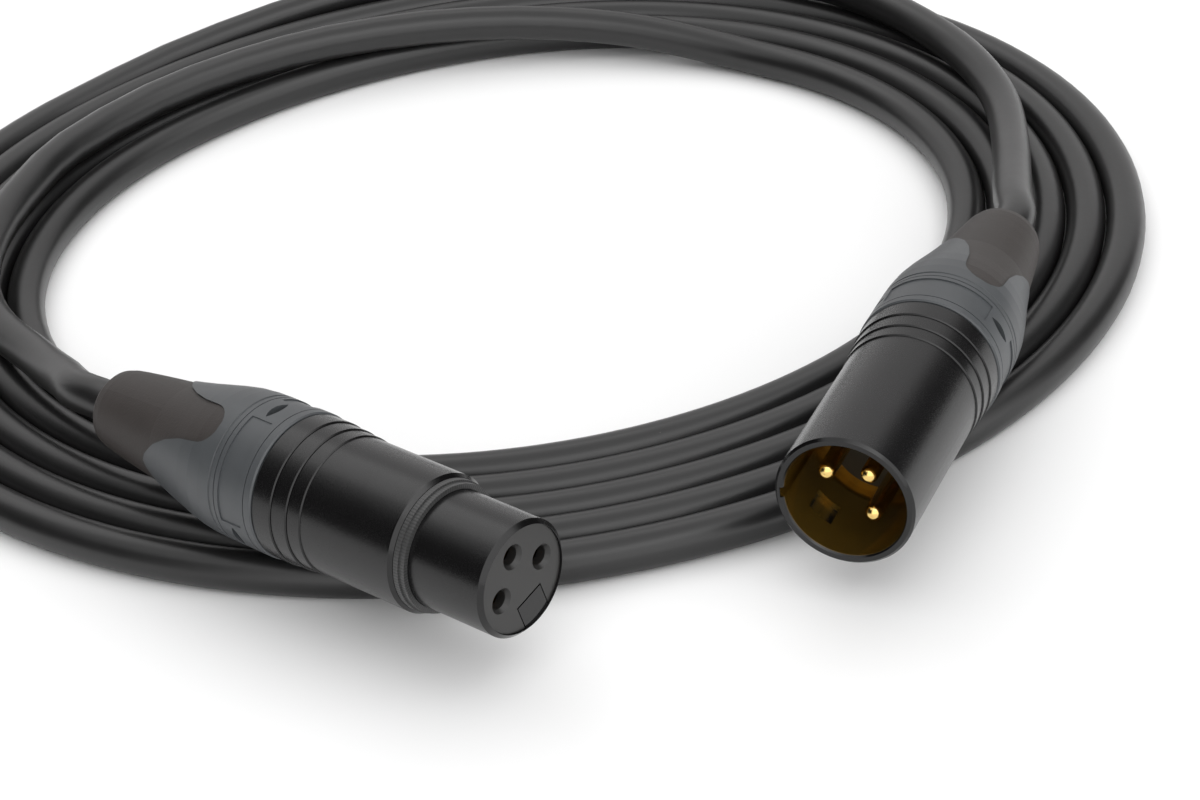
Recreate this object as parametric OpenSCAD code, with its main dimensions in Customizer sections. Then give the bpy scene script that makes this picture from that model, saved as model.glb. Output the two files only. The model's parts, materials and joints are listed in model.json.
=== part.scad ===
// Coiled microphone cable: a flat coil of round cable with a male and a female
// three-pin locking connector, both lying on the coil.
// Millimetres, +Z up.  The coil lies on Z = 0.

/* [Cable] */
// Outer diameter of the cable
cable_d = 6.0; // [5.6:0.1:6.2]
// Number of turns that lie side by side
coil_lanes = 5; // [4:1:5]
// Distance between neighbouring turns
lane_pitch = 6.15; // [6.1:0.05:6.2]
// Radius of the innermost turn, at the middle of the cable
coil_inner_r = 72; // [71:0.5:73]

/* [Connectors] */
// Outer diameter of both shells
shell_d = 19.0; // [18.8:0.1:19.2]
// Outer diameter of the back nuts
nut_d = 20.6; // [20.4:0.1:20.6]
// Length of the male shell that shows
male_shell_l = 35.0; // [35:0.5:37]
// Length of the female shell that shows, with its nose
female_shell_l = 38.6; // [38:0.2:40]
// Length of a back nut with its rubber boot
tail_l = 37.0; // [36:0.5:38]
// Height of both connector axes above the table
axis_h = 16.4; // [16.4:0.1:17]

/* [Contacts] */
// Diameter of the male pins
pin_d = 2.4; // [2.3:0.05:2.45]
// Radius of the circle that the three contacts stand on
contact_r = 4.1; // [4:0.05:4.2]

/* [Motion] */
// How far a back nut unscrews along its thread
nut_travel = 4; // [2:0.5:4]
// Gap between a part that moves and its neighbour
running_gap = 0.08; // [0.05:0.01:0.1]

/* [Hidden] */
$fn = 64;
shell_r = shell_d / 2;
nut_r = nut_d / 2;
cable_r = cable_d / 2;
coil_outer_r = coil_inner_r + (coil_lanes - 1) * lane_pitch + cable_r;

// Places of the connectors on the table, from the middle of the coil
male_front = [85, -77];
male_yaw = 0;
male_roll = 49;
female_front = [52, -104.4];
female_yaw = 72.1;
female_roll = 106;

// Shell bands, neck and bores; each band starts this far ahead of the shell's end
band_starts = [8.45, 6.1, 3.4];
band_end = 0.1;
band_edge = 0.16;
band_step = 0.2;
neck_l = 7;
neck_r = 8.75;
shell_bore_r = 7.65;
cavity_r = 8.25;
cavity_l = 15;
lip_r = 7.0;
lip_l = 0.6;
nose_l = 14.1;
nose_r = 8.0;
nose_bore_r = 7.35;
nose_bore_l = 23;

// Inserts
male_insert_l = 9.4;
female_insert_l = 29.7;
face_recess = 0.3;
key_w = 4.8;
key_floor = 3.2;

// Contacts
pin_r = pin_d / 2;
pin_tip = 1.6;
shank_r = 0.9;
cup_r = 1.4;
cup_bore_r = 1.0;
cup_l = 4;
collar_r = 1.65;
collar_l = 2;

// Latch lever
latch_w = 3.0;
latch_button_w = 4.6;
latch_pivot_z = 27;
latch_pivot_r = 6.2;
latch_pin_r = 0.7;

// Chuck and back nut, measured from the end of the shell
chuck_front = -4;
chuck_back = 20;
chuck_ring_r = 7.5;
chuck_body_r = 7.4;
chuck_tip_r = 5.2;
grip_r = 3.1;
cone_start = 12;
foot_r = 3.05;
foot_z = 12.6;
lobe_w = 9.05;
prong_end = 25;
boot_skin = 1.4;
panel_front = 2.5;
panel_back = 6.2;
panel_depth = 0.18;
slot_turn = 34;

// The jacket runs straight through the nut, the boot and the nut's travel
jacket_front = 3;
jacket_tail = nut_travel + 0.5;

// Places in plan are measured from the middle of the coil; the coil is set back
// so that the whole object is centred on the origin
female_axis = [-sin(female_yaw), cos(female_yaw)];
front_y = female_front[1] - nose_r * abs(female_axis[0]);
coil_y = -(coil_outer_r + front_y) / 2;
male_tail = male_shell_l + tail_l + jacket_tail;
female_tail = female_shell_l + tail_l + jacket_tail;

// From its connector each lead comes down on to the turns, lies on them for a
// stretch and then sinks into the coil
male_route = [
    [male_front[0], male_front[1] + male_tail, axis_h],
    [84.3, 3.5, 16.1], [82.4, 8.6, 15.3], [80.0, 16.0, 14.0], [76.8, 26.6, 12.2],
    [73.6, 36.5, 10.8], [70.2, 45.8, 9.8], [66.8, 53.3, 9.2], [62.3, 60.5, 9.1],
    [56.7, 67.4, 9.1], [50.6, 73.3, 9.1], [42.0, 80.0, 9.1], [33.0, 85.4, 9.1],
    [22.6, 89.9, 9.1], [6.6, 94.0, 9.1], [-12.4, 94.1, 9.0], [-31.0, 90.1, 8.1],
    [-47.7, 82.6, 7.1], [-61.3, 73.1, 5.9], [-72.0, 62.6, 4.9]
];
female_route = [
    [female_front[0] + female_tail * female_axis[0],
        female_front[1] + female_tail * female_axis[1], axis_h],
    [-28.9, -77.6, 15.6], [-33.9, -72.9, 13.8], [-40.1, -67.8, 11.8],
    [-46.7, -62.7, 10.4], [-53.4, -58.1, 9.5], [-59.7, -53.2, 9.1],
    [-66.0, -46.3, 9.1], [-71.3, -37.2, 9.1], [-75.2, -26.0, 9.1],
    [-77.4, -13.4, 9.1], [-77.9, 0, 9.1], [-72.9, 19.5, 9.1],
    [-64.0, 35.5, 9.1], [-53.0, 47.7, 9.05], [-39.2, 58.1, 8.6],
    [-25.0, 65.1, 7.8], [-12.2, 69.1, 6.7], [-2.5, 70.6, 5.7]
];

black_metal = "#1c1c1e";
black_plastic = "#2b2b2d";
nut_grey = "#4a4f58";
rubber_black = "#1f1d1c";
gold = "#d8a94a";
spring_steel = "#b8bcc0";
white_plastic = "#e6e4dc";
copper = "#b87333";
jacket_black = "#191919";
ring_grey = "#6f7274";

// ---- placing ----

// Stands a connector on its axis: local +Z runs from its front to its cable,
// and local +X points to the right of someone who looks into its front
module at_male() {
    translate([male_front[0], male_front[1] + coil_y, axis_h])
        rotate([-90, 0, male_yaw]) children();
}

module at_female() {
    translate([female_front[0], female_front[1] + coil_y, axis_h])
        rotate([-90, 0, female_yaw]) children();
}

// Turns local +X to an angle seen from the front, counterclockwise
module facing(angle) {
    rotate([0, 0, -angle]) children();
}

// The roll puts contact 3 at +X; contacts 1 and 2 stand a quarter turn each side
function contact_angle(n, side) = n == 3 ? 0 : (n == 1 ? 90 : -90) * side;

module at_contact(roll, n, side) {
    facing(roll + contact_angle(n, side)) translate([contact_r, 0, 0]) children();
}

// ---- common shapes ----

// A tube or disc between two heights
module ring(r_out, r_in, z0, z1) {
    translate([0, 0, z0]) difference() {
        cylinder(r = r_out, h = z1 - z0);
        if (r_in > 0) translate([0, 0, -1]) cylinder(r = r_in, h = z1 - z0 + 2);
    }
}

// A round rod from one point to another
module rod(from, to, r) {
    v = to - from;
    len = norm(v);
    translate(from)
        rotate([0, acos(v[2] / len), atan2(v[1], v[0])])
            cylinder(r = r, h = len, $fn = 32);
}

// A cable stretch: one closed tube swept through points on smooth arcs
sides = 10;
steps = 3;

function spline(a, b, c, d, t) =
    0.5 * (2 * b + (c - a) * t + (2 * a - 5 * b + 4 * c - d) * t * t
        + (3 * b - a - 3 * c + d) * t * t * t);

function smooth(p) = concat(
    [for (i = [0 : len(p) - 2], k = [0 : steps - 1])
        spline(p[max(i - 1, 0)], p[i], p[i + 1], p[min(i + 2, len(p) - 1)], k / steps)],
    [p[len(p) - 1]]
);

function unit(v) = v / norm(v);

function along(p, i) = unit(p[min(i + 1, len(p) - 1)] - p[max(i - 1, 0)]);

function ring_points(c, t, r) =
    let (side = unit(cross(t, [0, 0, 1])), up = cross(side, t))
    [for (k = [0 : sides - 1])
        c + r * (cos(360 * k / sides) * side + sin(360 * k / sides) * up)];

module swept_cable(route, first_dir) {
    p = smooth(route);
    n = len(p);
    points = [for (i = [0 : n - 1])
        each ring_points(p[i], i == 0 ? first_dir : along(p, i), cable_r)];
    faces = concat(
        [[for (k = [0 : sides - 1]) k]],
        [for (i = [0 : n - 2], k = [0 : sides - 1])
            let (a = i * sides + k, b = i * sides + (k + 1) % sides)
            [a, a + sides, b + sides, b]],
        [[for (k = [0 : sides - 1]) (n - 1) * sides + sides - 1 - k]]
    );
    translate([0, coil_y, 0]) polyhedron(points, faces, convexity = 6);
}

// ---- cable ----

module cable_coil() {
    color(jacket_black) translate([0, coil_y, 0])
        rotate_extrude($fn = 180)
            translate([coil_inner_r - cable_r, 0])
                square([coil_outer_r - coil_inner_r + cable_r, cable_d]);
}

module cable_lead_male() {
    color(jacket_black) swept_cable(male_route, [0, 1, 0]);
}

module cable_lead_female() {
    color(jacket_black)
        swept_cable(female_route, [female_axis[0], female_axis[1], 0]);
}

// The jacket's straight end inside the connector and just behind its boot
module jacket_end(shell_l) {
    color(jacket_black)
        ring(cable_r, 0, shell_l + jacket_front, shell_l + tail_l + jacket_tail);
}

// ---- shells ----

// Three bands behind the body, each a step wider with a bevelled front edge and
// a fine groove behind it, then the threaded neck
module shell_tail(shell_l) {
    for (i = [0 : 2])
        let (z = shell_l - band_starts[i], r = shell_r + (i + 1) * band_step,
            z_end = shell_l - (i < 2 ? band_starts[i + 1] : band_end)) {
            translate([0, 0, z]) cylinder(r1 = r - band_edge, r2 = r, h = band_edge);
            ring(r, 0, z + band_edge, z_end - 0.12);
        }
    ring(shell_r, 0, shell_l - band_starts[0] - 1, shell_l - band_end);
    difference() {
        ring(neck_r, 0, shell_l - 1, shell_l + neck_l);
        for (i = [0 : 3])
            ring(neck_r + 1, neck_r - 0.3, shell_l + 1.2 + i * 1.4, shell_l + 1.8 + i * 1.4);
    }
}

module male_shell() {
    body_l = male_shell_l - band_starts[0];
    color(black_metal) at_male() difference() {
        union() {
            translate([0, 0, 0.4]) cylinder(r = shell_r, h = body_l - 0.4);
            cylinder(r1 = shell_r - 0.35, r2 = shell_r, h = 0.4);
            shell_tail(male_shell_l);
        }
        translate([0, 0, -1]) cylinder(r = cavity_r, h = cavity_l + 1);
        translate([0, 0, -0.01]) cylinder(r1 = cavity_r + 0.25, r2 = cavity_r, h = 0.3);
        cylinder(r = lip_r, h = male_shell_l);
        translate([0, 0, cavity_l + lip_l])
            cylinder(r = shell_bore_r, h = male_shell_l + neck_l);
        // groove that guides the rib of the mating nose
        facing(180) translate([0, -0.75, -1]) cube([cavity_r + 0.5, 1.5, 13]);
        // pocket that the mating latch drops into
        facing(male_roll + 180) translate([0, -1.9, 5]) cube([cavity_r + 0.7, 3.8, 4]);
    }
}

module female_shell() {
    body_l = female_shell_l - band_starts[0];
    key_dir = female_roll + 180;
    color(black_metal) at_female() {
        difference() {
            union() {
                translate([0, 0, 0.6]) cylinder(r = nose_r, h = nose_l);
                cylinder(r1 = nose_r - 0.6, r2 = nose_r, h = 0.6);
                translate([0, 0, nose_l + 0.5]) cylinder(r = shell_r, h = body_l - nose_l - 0.5);
                translate([0, 0, nose_l]) cylinder(r1 = shell_r - 0.45, r2 = shell_r, h = 0.5);
                shell_tail(female_shell_l);
                // rib that finds the groove of the mating shell
                facing(-27) translate([0, -0.8, 0.8]) cube([nose_r + 0.45, 1.6, 11]);
            }
            translate([0, 0, -1]) cylinder(r = nose_bore_r, h = nose_bore_l + 1);
            translate([0, 0, nose_bore_l])
                cylinder(r = shell_bore_r, h = female_shell_l + neck_l);
            // windows for the latch hook and its button
            facing(key_dir) translate([5, -latch_w / 2 - 0.25, 4.2])
                cube([8, latch_w + 0.5, 4.6]);
            facing(key_dir) translate([5, -latch_button_w / 2 - 0.2, 16.9])
                cube([8, latch_button_w + 0.4, 9.9]);
        }
        // key that closes the slot in the face
        intersection() {
            ring(nose_bore_r + 0.3, 0, face_recess, 2.6);
            facing(key_dir) translate([key_floor + 0.25, -key_w / 2 + 0.15, 0])
                cube([6, key_w - 0.3, 4]);
        }
    }
}

// Ribbed ring in front of the step of the female shell
module female_collar_ring() {
    color(ring_grey) at_female() {
        ring(shell_r - 0.5, nose_r + 0.05, nose_l - 0.85, nose_l - 0.05);
        ring(shell_r - 0.75, nose_r + 0.05, nose_l - 1.7, nose_l - 0.85);
    }
}

// ---- inserts and contacts ----

module male_insert() {
    z0 = cavity_l - 0.4;
    seat = cavity_l + lip_l + 0.05;
    color(black_plastic) at_male() difference() {
        union() {
            ring(lip_r - 0.05, 0, z0, z0 + male_insert_l);
            ring(shell_bore_r - 0.05, 0, seat, z0 + male_insert_l);
        }
        for (n = [1 : 3]) at_contact(male_roll, n, 1) {
            translate([0, 0, z0 - 1]) cylinder(r = shank_r + 0.04, h = male_insert_l + 2);
            translate([0, 0, z0 + 3]) cylinder(r = collar_r + 0.04, h = collar_l + 0.08);
            translate([0, 0, z0 + 7]) cylinder(r = cup_r + 0.04, h = male_insert_l);
        }
    }
}

module female_insert() {
    color(black_plastic) at_female() difference() {
        union() {
            ring(nose_bore_r - 0.05, 0, face_recess, nose_bore_l + 1);
            ring(shell_bore_r - 0.05, 0, nose_bore_l + 0.1, face_recess + female_insert_l);
        }
        for (n = [1 : 3]) at_contact(female_roll, n, -1) {
            translate([0, 0, face_recess - 0.01]) cylinder(r1 = 1.75, r2 = 1.3, h = 0.6);
            cylinder(r = 1.3, h = 3);
            translate([0, 0, 2.2]) cylinder(r = 1.94, h = female_insert_l - 6);
            translate([0, 0, 20]) cylinder(r = cup_r + 0.04, h = 12);
        }
        facing(female_roll + 180) {
            translate([key_floor, -key_w / 2, -1]) cube([8, key_w, female_insert_l + 2]);
            translate([latch_pivot_r, 0, latch_pivot_z]) rotate([90, 0, 0])
                translate([0, 0, -3.2]) cylinder(r = latch_pin_r + 0.05, h = 6.4, $fn = 32);
        }
    }
}

// A turned pin with a collar, and a solder cup behind
module contact_pin(n) {
    z0 = cavity_l - 0.4;
    color(gold) at_male() at_contact(male_roll, n, 1) {
        translate([0, 0, pin_tip + pin_r]) cylinder(r = pin_r, h = z0 - pin_tip - pin_r, $fn = 48);
        translate([0, 0, z0]) cylinder(r = shank_r, h = 7, $fn = 48);
        translate([0, 0, pin_tip + pin_r]) sphere(r = pin_r, $fn = 48);
        translate([0, 0, z0 + 3.04]) cylinder(r = collar_r, h = collar_l, $fn = 48);
        solder_cup(z0 + 7, z0 + male_insert_l);
    }
}

module contact_socket(n) {
    color(gold) at_female() at_contact(female_roll, n, -1) {
        difference() {
            translate([0, 0, 2.4]) cylinder(r = 1.9, h = 17.5, $fn = 48);
            translate([0, 0, 2]) cylinder(r = pin_r + 0.05, h = 14, $fn = 48);
        }
        solder_cup(19.9, face_recess + female_insert_l);
    }
}

// Solid shank to the insert's back face, then a half-open cup
module solder_cup(z0, z_face) {
    difference() {
        translate([0, 0, z0]) cylinder(r = cup_r, h = z_face - z0 + cup_l, $fn = 48);
        translate([0, 0, z_face + 0.6]) cylinder(r = cup_bore_r, h = cup_l, $fn = 48);
        translate([0.1, -2, z_face + 1.4]) cube([4, 4, cup_l]);
    }
}

module male_pin_1() { contact_pin(1); }
module male_pin_2() { contact_pin(2); }
module male_pin_3() { contact_pin(3); }
module female_socket_1() { contact_socket(1); }
module female_socket_2() { contact_socket(2); }
module female_socket_3() { contact_socket(3); }

// A sprung strip that joins the shell to contact 1
module earth_spring(z0, roll, side) {
    color(spring_steel) facing(roll + contact_angle(1, side)) {
        difference() {
            ring(7.5, 7.1, z0, z0 + 3);
            translate([-9, -9, z0 - 1]) cube([14, 18, 5]);
        }
        translate([5.6, -1, z0]) cube([1.7, 2, 0.4]);
    }
}

module male_earth_spring() {
    at_male() earth_spring(cavity_l - 0.35 + male_insert_l, male_roll, 1);
}

module female_earth_spring() {
    at_female() earth_spring(face_recess + female_insert_l + 0.05, female_roll, -1);
}

// ---- latch ----

// Profile seen from the side: x outward from the axis, y along it
module latch_profile(points, w) {
    translate([0, w / 2, 0]) rotate([90, 0, 0]) linear_extrude(height = w) polygon(points);
}

module female_latch() {
    color(black_metal) at_female() facing(female_roll + 180) {
        latch_profile([[5.3, 3.4], [6.9, 3.4], [6.9, 4.7], [7.2, 4.7], [8.7, 6.6], [8.7, 8.0],
            [7.1, 8.3], [7.1, 28.2], [5.3, 28.2]], latch_w);
        latch_profile([[6.9, 17.3], [9.4, 17.3], [9.8, 17.8], [9.8, 25.4], [9.4, 25.9],
            [6.9, 25.9]], latch_button_w);
        translate([latch_pivot_r, 0, latch_pivot_z]) rotate([90, 0, 0])
            translate([0, 0, -2.9]) cylinder(r = latch_pin_r, h = 5.8, $fn = 32);
    }
}

// Bowed leaf that lifts the lever
module female_latch_spring() {
    color(spring_steel) at_female() facing(female_roll + 180)
        latch_profile([[3.25, 8.5], [3.55, 8.5], [3.9, 10], [5.25, 13.6], [5.25, 14.4],
            [3.9, 18], [3.55, 19.5], [3.25, 19.5], [3.55, 18], [4.9, 14.3], [4.9, 13.7],
            [3.55, 10]], 2.4);
}

// ---- strain relief ----

// Split chuck: a ring in the shell's bore and four fingers that the nut closes
module chuck(shell_l) {
    color(white_plastic) translate([0, 0, shell_l]) difference() {
        union() {
            ring(chuck_ring_r, 0, chuck_front, 5);
            ring(chuck_body_r, 0, 5, cone_start);
            translate([0, 0, cone_start])
                cylinder(r1 = chuck_body_r, r2 = chuck_tip_r, h = chuck_back - cone_start);
        }
        translate([0, 0, chuck_front - 1]) cylinder(r = 5.6, h = 11);
        cylinder(r = grip_r, h = chuck_back + 1);
        for (a = [45, 135]) rotate([0, 0, a])
            translate([-9, -0.7, 4.5]) cube([18, 1.4, chuck_back]);
    }
}

// Half outlines of the nut and of its boot, measured from the end of the shell;
// the boot stands a little lower than the nut's prongs
nut_outline = [
    [0, 0.1], [nut_r - 0.2, 0.1], [nut_r, 0.3], [nut_r, 1.35], [nut_r - 0.12, 1.35],
    [nut_r - 0.12, 1.5], [nut_r, 1.5], [nut_r, 6.9], [nut_r - 0.12, 6.9],
    [nut_r - 0.12, 7.05], [nut_r, 7.05], [nut_r, 7.7], [nut_r - 0.15, 7.8],
    [nut_r - 0.15, 8.0], [nut_r, 8.1], [nut_r - 0.05, 10.2], [nut_r - 0.25, 12.4],
    [nut_r - 0.72, 14.9], [nut_r - 1.32, 17.5], [nut_r - 1.95, 20.2],
    [nut_r - 2.47, 22.7], [nut_r - 2.9, prong_end], [0, prong_end]
];
boot_outline = [
    [0, 9], [10.15, 9], [10.1, 10.4], [9.85, 12.4],
    [9.3, 14.9], [8.65, 17.5], [8.05, 20.2], [7.5, 22.7], [7.2, 25], [6.9, 27.5],
    [6.45, 31], [6.1, 33.5], [5.85, 35], [5.5, 36.2], [5.0, tail_l - 0.2],
    [4.5, tail_l], [0, tail_l]
];

// Half outline of a lobe, where rubber covers the nut, as [half width, height]:
// a round foot, then a curve that flares until the three lobes meet
lobe_side = concat(
    [for (a = [15 : 15 : 90]) [foot_r * sin(a), foot_z - foot_r * cos(a)]],
    [for (a = [15 : 15 : 90])
        [lobe_w - (lobe_w - foot_r) * cos(a), foot_z + (prong_end - foot_z) * sin(a)]]
);

module lobe_space() {
    outline = concat(
        [for (p = lobe_side) [-p[1], p[0]]],
        [[-40, lobe_w], [-40, -lobe_w]],
        [for (i = [len(lobe_side) - 1 : -1 : 0]) [-lobe_side[i][1], -lobe_side[i][0]]]
    );
    difference() {
        for (i = [0 : 2]) rotate([0, 0, 120 * i]) rotate([0, 90, 0])
            linear_extrude(height = 12) polygon(outline);
        rotate_extrude($fn = 96)
            polygon([for (p = nut_outline) [max(0, p[0] - boot_skin), p[1]]]);
    }
}

// Three sunk panels run round the band, with an oval slot between each two
module band_panels() {
    difference() {
        ring(nut_r + 1, nut_r - panel_depth, panel_front, panel_back);
        for (i = [0 : 2]) rotate([0, 0, 120 * i + slot_turn])
            translate([8, -2.7, 0]) cube([4, 5.4, 10]);
    }
    for (i = [0 : 2]) rotate([0, 0, 120 * i + slot_turn])
        translate([nut_r - 1, 0, (panel_front + panel_back) / 2]) rotate([0, 90, 0])
            intersection() {
                translate([3.07, 0, 0]) cylinder(r = 3.72, h = 3);
                translate([-3.07, 0, 0]) cylinder(r = 3.72, h = 3);
            }
}

module bushing(shell_l) {
    color(nut_grey) translate([0, 0, shell_l]) difference() {
        rotate_extrude($fn = 96) polygon(nut_outline);
        translate([0, 0, -1]) cylinder(r = neck_r + running_gap + 0.02, h = 1 + neck_l + 0.6);
        cylinder(r = chuck_body_r + 0.15, h = cone_start);
        translate([0, 0, cone_start - 0.01])
            cylinder(r1 = chuck_body_r + 0.15, r2 = chuck_tip_r + 0.15,
                h = chuck_back - cone_start);
        translate([0, 0, cone_start])
            cylinder(r = chuck_tip_r + 0.14, h = chuck_back - cone_start + 0.15);
        cylinder(r = 3.5, h = prong_end + 1);
        lobe_space();
        band_panels();
    }
}

module boot(shell_l) {
    color(rubber_black) translate([0, 0, shell_l]) difference() {
        rotate_extrude($fn = 96) polygon(boot_outline);
        // the nut fills everything ahead of the prongs' ends but the lobes
        difference() {
            ring(12, 0, 8.5, prong_end);
            lobe_space();
        }
        cylinder(r = cable_r + 0.3, h = tail_l + 1);
    }
}

module male_chuck() { at_male() chuck(male_shell_l); }
module male_bushing() { at_male() facing(61) bushing(male_shell_l); }
module male_boot() { at_male() facing(61) boot(male_shell_l); }
module female_chuck() { at_female() chuck(female_shell_l); }
module female_bushing() { at_female() facing(120) bushing(female_shell_l); }
module female_boot() { at_female() facing(120) boot(female_shell_l); }
module male_jacket_end() { at_male() jacket_end(male_shell_l); }
module female_jacket_end() { at_female() jacket_end(female_shell_l); }

// ---- wires ----

// From the jacket's cut end to a solder cup: straight in the cup, then across
module wire(shell_l, z_face, roll, n, side, r) {
    facing(roll + contact_angle(n, side)) {
        cup = [contact_r, 0, z_face + 1.4 + r];
        knee = [contact_r, 0, z_face + cup_l + 0.8];
        jacket = [1.6, 0, shell_l + jacket_front - r];
        rod(cup, knee, r);
        translate(knee) sphere(r = r * 1.12, $fn = 32);
        rod(knee, jacket, r);
    }
}

module male_wire(n, r) {
    at_male() wire(male_shell_l, cavity_l - 0.4 + male_insert_l, male_roll, n, 1, r);
}

module female_wire(n, r) {
    at_female() wire(female_shell_l, face_recess + female_insert_l, female_roll, n, -1, r);
}

module male_shield_tail() { color(copper) male_wire(1, 0.85); }
module male_wire_pair_2() { color("#2f56a8") male_wire(2, 0.7); }
module male_wire_pair_3() { color(white_plastic) male_wire(3, 0.7); }
module female_shield_tail() { color(copper) female_wire(1, 0.85); }
module female_wire_pair_2() { color("#2f56a8") female_wire(2, 0.7); }
module female_wire_pair_3() { color(white_plastic) female_wire(3, 0.7); }

cable_coil();
cable_lead_male();
cable_lead_female();
male_shell();
male_insert();
male_pin_1();
male_pin_2();
male_pin_3();
male_earth_spring();
male_chuck();
male_bushing();
male_boot();
male_jacket_end();
male_shield_tail();
male_wire_pair_2();
male_wire_pair_3();
female_shell();
female_collar_ring();
female_insert();
female_socket_1();
female_socket_2();
female_socket_3();
female_latch();
female_latch_spring();
female_earth_spring();
female_chuck();
female_bushing();
female_boot();
female_jacket_end();
female_shield_tail();
female_wire_pair_2();
female_wire_pair_3();
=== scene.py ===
"""Looks for the coiled microphone cable with its two locking connectors."""

import json
import math

import bmesh
import bpy
from mathutils import Matrix, Vector


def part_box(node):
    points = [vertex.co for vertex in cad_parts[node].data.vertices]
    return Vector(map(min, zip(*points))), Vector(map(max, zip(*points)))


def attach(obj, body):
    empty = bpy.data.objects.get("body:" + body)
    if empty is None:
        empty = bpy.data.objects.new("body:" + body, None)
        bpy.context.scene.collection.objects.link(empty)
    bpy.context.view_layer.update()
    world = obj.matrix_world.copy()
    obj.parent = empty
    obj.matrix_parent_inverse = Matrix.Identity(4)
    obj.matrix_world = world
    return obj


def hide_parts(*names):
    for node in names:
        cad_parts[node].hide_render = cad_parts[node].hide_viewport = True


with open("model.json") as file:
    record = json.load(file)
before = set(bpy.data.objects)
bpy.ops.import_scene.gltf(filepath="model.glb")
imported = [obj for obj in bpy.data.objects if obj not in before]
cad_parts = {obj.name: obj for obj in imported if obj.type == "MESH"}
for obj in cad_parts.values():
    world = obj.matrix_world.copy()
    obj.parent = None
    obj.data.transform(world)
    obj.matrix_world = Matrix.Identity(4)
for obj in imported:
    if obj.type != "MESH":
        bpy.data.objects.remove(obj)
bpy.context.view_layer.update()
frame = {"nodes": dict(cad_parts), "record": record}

MM = 0.001

# ---- layout, in millimetres from the middle of the coil ----

CABLE_R = 3.0
INNER_TURN_R = 72.0
LANES = 5
LANE_PITCH = 6.15
# The coil's middle lies this far behind the middle of the whole part
COIL_Y = (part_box("cable_coil")[0].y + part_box("cable_coil")[1].y) / 2 / MM
# Both connector axes are this high above the table
AXIS_H = 16.4

# Open front, turn in degrees and length of the shell that shows
MALE_FRONT, MALE_YAW, MALE_SHELL = (85.0, -77.0), 0.0, 35.0
FEMALE_FRONT, FEMALE_YAW, FEMALE_SHELL = (52.0, -104.4), 72.1, 38.6
# A back nut with its boot, and how far the straight jacket goes on behind it
TAIL = 37.0
JACKET_TAIL = 4.5


class Connector:
    """Where a connector lies: right and up as its open front is looked into, and back along its axis."""

    def __init__(self, name, front, yaw):
        self.name = name
        yaw = math.radians(yaw)
        self.right = Vector((math.cos(yaw), math.sin(yaw), 0))
        self.up = Vector((0, 0, 1))
        self.back = Vector((-math.sin(yaw), math.cos(yaw), 0))
        self.front = Vector((front[0], front[1] + COIL_Y, AXIS_H))


male = Connector("male", MALE_FRONT, MALE_YAW)
female = Connector("female", FEMALE_FRONT, FEMALE_YAW)


# ---- camera ----

CAMERA_PLACE = (0.20493, (-398.95 + COIL_Y) * MM, 0.24291)
CAMERA_TURN, CAMERA_PITCH, CAMERA_ROLL = (math.radians(a) for a in (115.42, -31.26, -5.445))


def aim_camera():
    lens = bpy.data.cameras.new("camera")
    lens.sensor_width, lens.lens = 36, 96
    lens.clip_start, lens.clip_end = 0.01, 20
    camera = bpy.data.objects.new("camera", lens)
    bpy.context.scene.collection.objects.link(camera)
    level = math.cos(CAMERA_PITCH)
    ahead = Vector((level * math.cos(CAMERA_TURN), level * math.sin(CAMERA_TURN), math.sin(CAMERA_PITCH)))
    right = ahead.cross(Vector((0, 0, 1))).normalized()
    up = right.cross(ahead)
    side = right * math.cos(CAMERA_ROLL) + up * math.sin(CAMERA_ROLL)
    top = up * math.cos(CAMERA_ROLL) - right * math.sin(CAMERA_ROLL)
    camera.matrix_world = Matrix.Translation(CAMERA_PLACE) @ Matrix(
        [[side[i], top[i], -ahead[i]] for i in range(3)]
    ).to_4x4()
    bpy.context.scene.camera = camera


aim_camera()


# ---- the cable's run ----

MALE_LEAD = [
    (84.3, 3.5, 16.1), (82.4, 8.6, 15.3), (80.0, 16.0, 14.0), (76.8, 26.6, 12.2), (73.6, 36.5, 10.8),
    (70.2, 45.8, 9.8), (66.8, 53.3, 9.2), (62.3, 60.5, 9.1), (56.7, 67.4, 9.1), (50.6, 73.3, 9.1),
    (42.0, 80.0, 9.1), (33.0, 85.4, 9.1), (22.6, 89.9, 9.1), (6.6, 94.0, 9.1), (-12.4, 94.1, 9.0),
    (-31.0, 90.1, 8.1), (-47.7, 82.6, 7.1), (-61.3, 73.1, 5.9), (-72.0, 62.6, 4.9),
]
FEMALE_LEAD = [
    (-28.9, -77.6, 15.6), (-33.9, -72.9, 13.8), (-40.1, -67.8, 11.8), (-46.7, -62.7, 10.4),
    (-53.4, -58.1, 9.5), (-59.7, -53.2, 9.1), (-66.0, -46.3, 9.1), (-71.3, -37.2, 9.1),
    (-75.2, -26.0, 9.1), (-77.4, -13.4, 9.1), (-77.9, 0, 9.1), (-72.9, 19.5, 9.1), (-64.0, 35.5, 9.1),
    (-53.0, 47.7, 9.05), (-39.2, 58.1, 8.6), (-25.0, 65.1, 7.8), (-12.2, 69.1, 6.7), (-2.5, 70.6, 5.7),
]
# Going round clockwise, every turn moves out by one lane between these bearings
SHIFT_FROM, SHIFT_TO = 165, 75
STEP = 5
# The coil is a little longer than it is wide: by how much, and on which bearing it is longest
LONGER, LONGEST_AT = 2.7, 37.5
# Where the inner end rises into its lead and the outer end into the other: bearing, radius, height
INNER_RISE = [(84, 71.6, 4.3), (77, 71.9, 3.25)]
OUTER_RISE = (152, 97.4, 3.6)
# How far behind the shell the jacket starts inside the connector
JACKET_FRONT = 3.0


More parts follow.
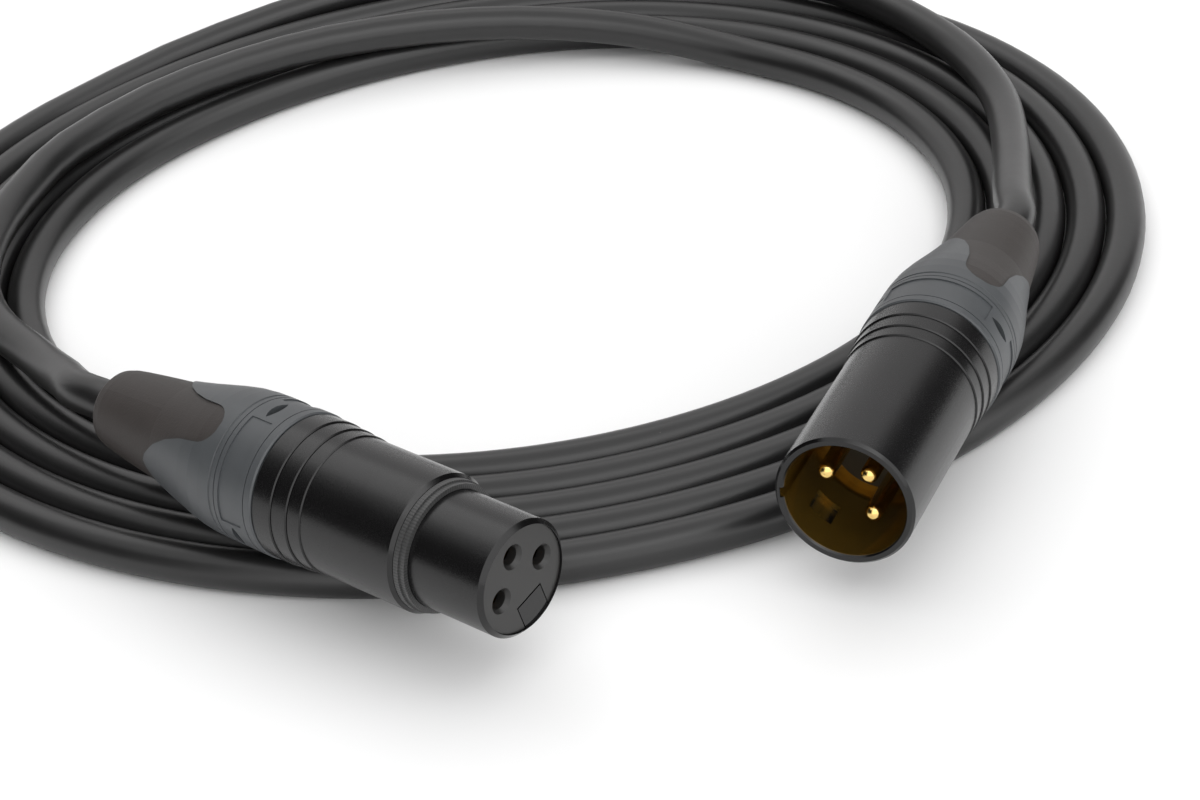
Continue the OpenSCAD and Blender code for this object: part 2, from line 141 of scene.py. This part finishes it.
def on_bearing(bearing, radius, height):
    """A point of the coil, which isn't quite round."""
    radius += LONGER * math.cos(math.radians(2 * (bearing - LONGEST_AT)))
    turn = math.radians(bearing)
    return (radius * math.cos(turn), radius * math.sin(turn), height)


def turns():
    """The turns that lie on the table, from the inner end to the outer one."""
    points = [on_bearing(*spot) for spot in INNER_RISE]
    zone = SHIFT_FROM - SHIFT_TO
    for gone in range(zone + STEP, 360 * LANES + 1, STEP):
        lap, share = divmod(gone, 360)
        share = min(share / zone, 1)
        ease = share * share * (3 - 2 * share)
        lane = 1 if lap == 0 else min(lap + ease, LANES)
        points.append(on_bearing(SHIFT_FROM - gone, INNER_TURN_R + (lane - 1) * LANE_PITCH, CABLE_R))
    points.append(on_bearing(*OUTER_RISE))
    return points


def smooth_run(points, steps):
    """A smooth line through the points."""
    points = [Vector(p) for p in points]
    padded = [2 * points[0] - points[1], *points, 2 * points[-1] - points[-2]]
    line = []
    for a, b, c, d in zip(padded, padded[1:], padded[2:], padded[3:]):
        for i in range(steps):
            t = i / steps
            line.append(0.5 * (2 * b + (c - a) * t + (2 * a - 5 * b + 4 * c - d) * t * t
                               + (3 * b - a - 3 * c + d) * t * t * t))
    return [*line, points[-1]]


def straight(connector, spots):
    """Points on a connector's axis, from the middle of the coil."""
    return [p - Vector((0, COIL_Y, 0)) for p in (connector.front + connector.back * s for s in spots)]


def lay_cable():
    """One round tube from inside the female connector to inside the male one, and its middle line."""
    end = TAIL + JACKET_TAIL
    spots = [JACKET_FRONT, 14, 24, 34, end - 3.5, end]
    start = straight(female, [FEMALE_SHELL + s for s in spots])
    finish = straight(male, [MALE_SHELL + s for s in reversed(spots)])
    knots = [*start, *FEMALE_LEAD, *turns(), *reversed(MALE_LEAD), *finish]
    line = [Vector((x, y + COIL_Y, z)) * MM for x, y, z in smooth_run(knots, steps=2)]
    curve = bpy.data.curves.new("cable", "CURVE")
    curve.dimensions = "3D"
    curve.bevel_depth, curve.bevel_resolution = CABLE_R * MM, 7
    curve.use_fill_caps = True
    curve.twist_mode = "Z_UP"
    spline = curve.splines.new("POLY")
    spline.points.add(len(line) - 1)
    for knot, p in zip(spline.points, line):
        knot.co = (*p, 1)
    spline.use_smooth = True
    tube = bpy.data.objects.new("tube", curve)
    cable = bpy.data.objects.new("cable_run", bpy.data.meshes.new_from_object(tube))
    bpy.data.curves.remove(curve)
    bpy.context.scene.collection.objects.link(cable)
    return cable, line


cable, cable_line = lay_cable()
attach(cable, "cable")
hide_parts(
    "cable_coil", "cable_lead_male", "cable_lead_female", "male_jacket_end", "female_jacket_end")


# ---- finishes ----

SHARP_ANGLE = math.radians(32)
JACKET = (0.0082, 0.008, 0.0081)
COATING = (0.0052, 0.005, 0.0052)
MOUTH = (0.26, 0.155, 0.026)
PALE_DUST, BROWN_DUST = (0.2, 0.19, 0.18), (0.2, 0.18, 0.16)
# Glossy edges, in millimetres behind the open front: how far each one fades, and the female shoulder
EDGE_FADE = (0.35, 0.6)
SHOULDER_AT = 14.3
# The bright mouth of the male shell: where it starts and ends, and how far out it fades in the wall
MOUTH_START, MOUTH_END = (0.2, 0.4), 16.0
MOUTH_WALL = (8.9, 9.1)


class Value:
    """A number or colour that changes over a surface, as the output of a shader node."""

    def __init__(self, shading, socket):
        self.shading, self.socket = shading, socket

    def math(self, operation, *terms):
        return self.shading.node("Math", {"operation": operation}, dict(enumerate(terms)))

    def __add__(self, other):
        return self.math("ADD", self, other)

    def __radd__(self, other):
        return self.math("ADD", other, self)

    def __sub__(self, other):
        return self.math("SUBTRACT", self, other)

    def __rsub__(self, other):
        return self.math("SUBTRACT", other, self)

    def __mul__(self, other):
        return self.math("MULTIPLY", self, other)

    def __rmul__(self, other):
        return self.math("MULTIPLY", other, self)

    def __truediv__(self, other):
        return self.math("DIVIDE", self, other)

    def __pow__(self, other):
        return self.math("POWER", self, other)

    def __gt__(self, other):
        return self.math("GREATER_THAN", self, other)

    def __lt__(self, other):
        return self.math("LESS_THAN", self, other)

    def __abs__(self):
        return self.math("ABSOLUTE", self)

    def ramp(self, low, high):
        """0 below low, 1 above high, and smooth between them."""
        return self.shading.node(
            "MapRange", {"interpolation_type": "SMOOTHSTEP"},
            {"Value": self, "From Min": low, "From Max": high, "To Min": 0.0, "To Max": 1.0})


class Shading:
    """Nodes of one material or of the room."""

    def __init__(self, tree):
        self.tree = tree

    def node(self, kind, settings=None, values=None, out=0):
        node = self.tree.nodes.new("ShaderNode" + kind)
        for key, value in (settings or {}).items():
            setattr(node, key, value)
        for key, value in (values or {}).items():
            if isinstance(value, Value):
                self.tree.links.new(value.socket, node.inputs[key])
            else:
                node.inputs[key].default_value = value
        return Value(self, node.outputs[out])

    def mix(self, share, one, other):
        """A colour between two colours."""
        one, other = (c if isinstance(c, Value) else (*c, 1.0) for c in (one, other))
        return self.node("Mix", {"data_type": "RGBA"}, {0: share, 6: one, 7: other}, out=2)

    def dot(self, vector, way):
        return self.node("VectorMath", {"operation": "DOT_PRODUCT"}, {0: vector, 1: way}, out="Value")


def shade(colour, factor):
    """A darker or lighter version of a colour."""
    return tuple(c * factor for c in colour)


class Finish(Shading):
    """One material. Its even values go straight on the shader's sockets."""

    def __init__(self, name, **even):
        self.material = bpy.data.materials.new(name)
        self.material.use_nodes = True
        super().__init__(self.material.node_tree)
        self.shader = self.tree.nodes["Principled BSDF"]
        for key, value in even.items():
            socket = self.shader.inputs[key.replace("_", " ").title().replace("Ior", "IOR")]
            socket.default_value = (*value, 1.0) if isinstance(value, tuple) else value

    def place(self):
        """Where a spot is, in metres in the shared frame."""
        return self.node("TexCoord", out="Object")

    def on_connector(self, connector):
        """Millimetres to the right of a connector's axis, above it and back along it."""
        front = connector.front * MM
        spot = self.node("VectorMath", {"operation": "SUBTRACT"}, {0: self.place(), 1: front})
        return [self.dot(spot, way) / MM for way in (connector.right, connector.up, connector.back)]

    def noise(self, size_mm, detail=2.0, rough=0.5):
        return self.node("TexNoise", None, {
            "Vector": self.place(), "Scale": 1 / (size_mm * MM), "Detail": detail, "Roughness": rough})

    def specks(self, cell_mm, radius_mm):
        """1 in small round specks, one at most in each cell."""
        cells = {"Vector": self.place(), "Scale": 1 / (cell_mm * MM)}
        far = self.node("TexVoronoi", {"feature": "F1"}, cells, out="Distance")
        return 1.0 - (far * cell_mm).ramp(radius_mm * 0.5, radius_mm)

    def feed(self, name, value):
        self.tree.links.new(value.socket, self.shader.inputs[name])

    def bump(self, height, depth_mm, strength=1.0, under=None):
        values = {"Height": height, "Strength": strength, "Distance": depth_mm * MM}
        if under is not None:
            values["Normal"] = under
        return self.node("Bump", None, values)


def jacket_finish():
    """Smooth matt vinyl with a little dust on it."""
    f = Finish("jacket", base_color=JACKET, roughness=0.3, specular_ior_level=0.55)
    cloud, fine = f.noise(9, 4, 0.6), f.noise(0.35, 3, 0.6)
    f.feed("Roughness", 0.27 + cloud * 0.09 + fine * 0.06)
    dust = f.specks(2.6, 0.055) * (f.noise(6) > 0.55)
    vinyl = f.mix(cloud, shade(JACKET, 0.85), shade(JACKET, 1.2))
    f.feed("Base Color", f.mix(dust, vinyl, PALE_DUST))
    f.feed("Normal", f.bump(fine, 0.012, 0.55, f.bump(f.noise(3.2, 2), 0.03, 0.5)))
    return f.material


def shell_finish(connector):
    """Fine satin coating, glossy on its edges; the male shell's mouth is bronze inside."""
    f = Finish(connector.name + "_coating", base_color=COATING, specular_ior_level=0.42)
    right, up, back = f.on_connector(connector)
    grain = f.noise(0.16, 3, 0.7)
    edge = 1.0 - back.ramp(*EDGE_FADE)
    if connector is female:
        edge = edge + (1.0 - abs(back - SHOULDER_AT).ramp(*EDGE_FADE))
    satin = 0.15 + grain * 0.16 + f.noise(5, 3) * 0.05
    rough = satin * (1.0 - edge) + edge * 0.12
    dust = f.specks(3.1, 0.05) * (f.noise(5) > 0.55)
    colour = f.mix(dust, COATING, BROWN_DUST)
    if connector is male:
        out = (right * right + up * up) ** 0.5
        inside = (1.0 - out.ramp(*MOUTH_WALL)) * back.ramp(*MOUTH_START) * (back < MOUTH_END)
        worn = f.mix(f.noise(2.5, 3, 0.6), shade(MOUTH, 0.6), MOUTH)
        colour = f.mix(inside, colour, worn)
        rough = rough * (1.0 - inside) + inside * 0.13
        f.feed("Metallic", inside * 0.8)
    f.feed("Base Color", colour)
    f.feed("Roughness", rough)
    f.feed("Normal", f.bump(grain, 0.016, 0.55))
    return f.material


def plastic_finish(name, colour, rough, grain_mm=0.25, depth_mm=0.01, strength=0.5):
    """Moulded plastic or rubber with a fine grain and a faint cloudiness."""
    f = Finish(name, base_color=colour, specular_ior_level=0.45)
    grain, cloud = f.noise(grain_mm, 3, 0.6), f.noise(4, 3)
    f.feed("Roughness", (rough - 0.06) + grain * 0.08 + cloud * 0.05)
    f.feed("Base Color", f.mix(cloud, shade(colour, 0.86), shade(colour, 1.14)))
    f.feed("Normal", f.bump(grain, depth_mm, strength))
    return f.material


def ribbed_finish(name, colour, rough, connector, ribs):
    """Plastic ring with fine ribs round its rim, and painted shade in the grooves between the ribs."""
    f = Finish(name, base_color=colour, specular_ior_level=0.5)
    right, up, _ = f.on_connector(connector)
    turn = up.math("ARCTAN2", up, right) * float(ribs)
    ridge = turn.math("SINE", turn).ramp(-0.8, 0.4)
    f.feed("Roughness", rough + f.noise(0.4, 2) * 0.12)
    # Painted shade: the grooves between the ribs are coloured darker than the ribs.
    f.feed("Base Color", f.mix(ridge, shade(colour, 0.7), colour))
    f.feed("Normal", f.bump(ridge, 0.05, 0.6))
    return f.material


def metal_finish(name, colour, rough):
    """Bare metal, a little cloudy."""
    f = Finish(name, base_color=colour, metallic=1.0)
    cloud = f.noise(1.5, 3)
    f.feed("Roughness", rough + cloud * 0.1)
    f.feed("Base Color", f.mix(cloud, shade(colour, 0.9), colour))
    f.feed("Normal", f.bump(f.noise(0.2, 2), 0.004, 0.4))
    return f.material


jacket = jacket_finish()
finishes = {
    "jacket": jacket,
    "insert_black": plastic_finish("insert_black", (0.017, 0.0165, 0.016), 0.34),
    "contact_gold": metal_finish("contact_gold", (0.88, 0.62, 0.22), 0.12),
    "spring_steel": metal_finish("spring_steel", (0.58, 0.59, 0.6), 0.22),
    "chuck_white": plastic_finish("chuck_white", (0.72, 0.7, 0.64), 0.45),
    "nut_grey": plastic_finish("nut_grey", (0.057, 0.061, 0.065), 0.42, 0.2, 0.012),
    "boot_rubber": plastic_finish("boot_rubber", (0.027, 0.022, 0.02), 0.55, 0.28, 0.04, 0.9),
    "collar_grey": ribbed_finish("collar_grey", (0.05, 0.05, 0.05), 0.32, female, 130),
    "shield_copper": metal_finish("shield_copper", (0.72, 0.36, 0.2), 0.28),
    "wire_blue": plastic_finish("wire_blue", (0.02, 0.06, 0.28), 0.35),
    "wire_white": plastic_finish("wire_white", (0.7, 0.7, 0.66), 0.35),
}
coatings = {c.name: shell_finish(c) for c in (male, female)}
cable.data.materials.clear()
cable.data.materials.append(jacket)


def dress(obj, material):
    """Puts one material on the whole of a part."""
    if not obj.material_slots:
        obj.data.materials.append(material)
    for slot in obj.material_slots:
        slot.material = material


for part in frame["record"]["subparts"]:
    obj = frame["nodes"][part["node"]]
    side, slot = part["node"].split("_")[0], part["material_slot"]
    dress(obj, coatings[side] if slot == "shell_black" else finishes[slot])
    for face in obj.data.polygons:
        face.use_smooth = True
    obj.modifiers.new("sharp_edges", "EDGE_SPLIT").split_angle = SHARP_ANGLE


# ---- table and light ----

DARK_WALLS = (0.008, 0.008, 0.008)
BACKDROP = (0.84, 0.83, 0.83)
FRONT_SHEET = (1.7, 1.7, 1.7)


def set_table():
    mesh = bpy.data.meshes.new("table")
    shape = bmesh.new()
    bmesh.ops.create_grid(shape, x_segments=8, y_segments=8, size=4)
    shape.to_mesh(mesh)
    table = bpy.data.objects.new("table", mesh)
    bpy.context.scene.collection.objects.link(table)
    f = Finish("table", base_color=(0.9, 0.9, 0.9), roughness=0.8, specular_ior_level=0.2)
    mesh.materials.append(f.material)


def hang_softbox(height, side, power):
    """A square light that faces straight down over the middle of the table."""
    data = bpy.data.lights.new("softbox", "AREA")
    data.shape, data.size, data.energy = "SQUARE", side, power
    lamp = bpy.data.objects.new("softbox", data)
    lamp.location = (0, 0, height)
    bpy.context.scene.collection.objects.link(lamp)


def fill_room():
    """A dark room with a white backdrop behind the coil and a brighter sheet at its front right."""
    world = bpy.data.worlds.new("room")
    world.use_nodes = True
    bpy.context.scene.world = world
    room = Shading(world.node_tree)
    way = room.node("TexCoord", out="Generated")
    rise = room.dot(way, (0, 0, 1))
    # A little over 1, so that straight up and straight down divide by more than 0
    level = (1.0001 - rise * rise) ** 0.5

    def sheet(bearing, reach, blur):
        """A white sheet that stands round the table for so many degrees each side of a bearing."""
        ahead = (math.cos(math.radians(bearing)), math.sin(math.radians(bearing)), 0)
        toward = room.dot(way, ahead) / level
        return toward.ramp(math.cos(math.radians(reach + blur)), math.cos(math.radians(reach)))

    low = 1.0 - rise.ramp(0.8, 0.95)
    colour = room.mix(sheet(bearing=121, reach=45, blur=13) * low, DARK_WALLS, BACKDROP)
    colour = room.mix(sheet(bearing=-40, reach=55, blur=25) * low, colour, FRONT_SHEET)
    world.node_tree.links.new(colour.socket, world.node_tree.nodes["Background"].inputs["Color"])


set_table()
fill_room()
hang_softbox(height=1.2, side=2.2, power=16.5)
bpy.context.scene.view_settings.view_transform = "Standard"

bpy.context.view_layer.update()
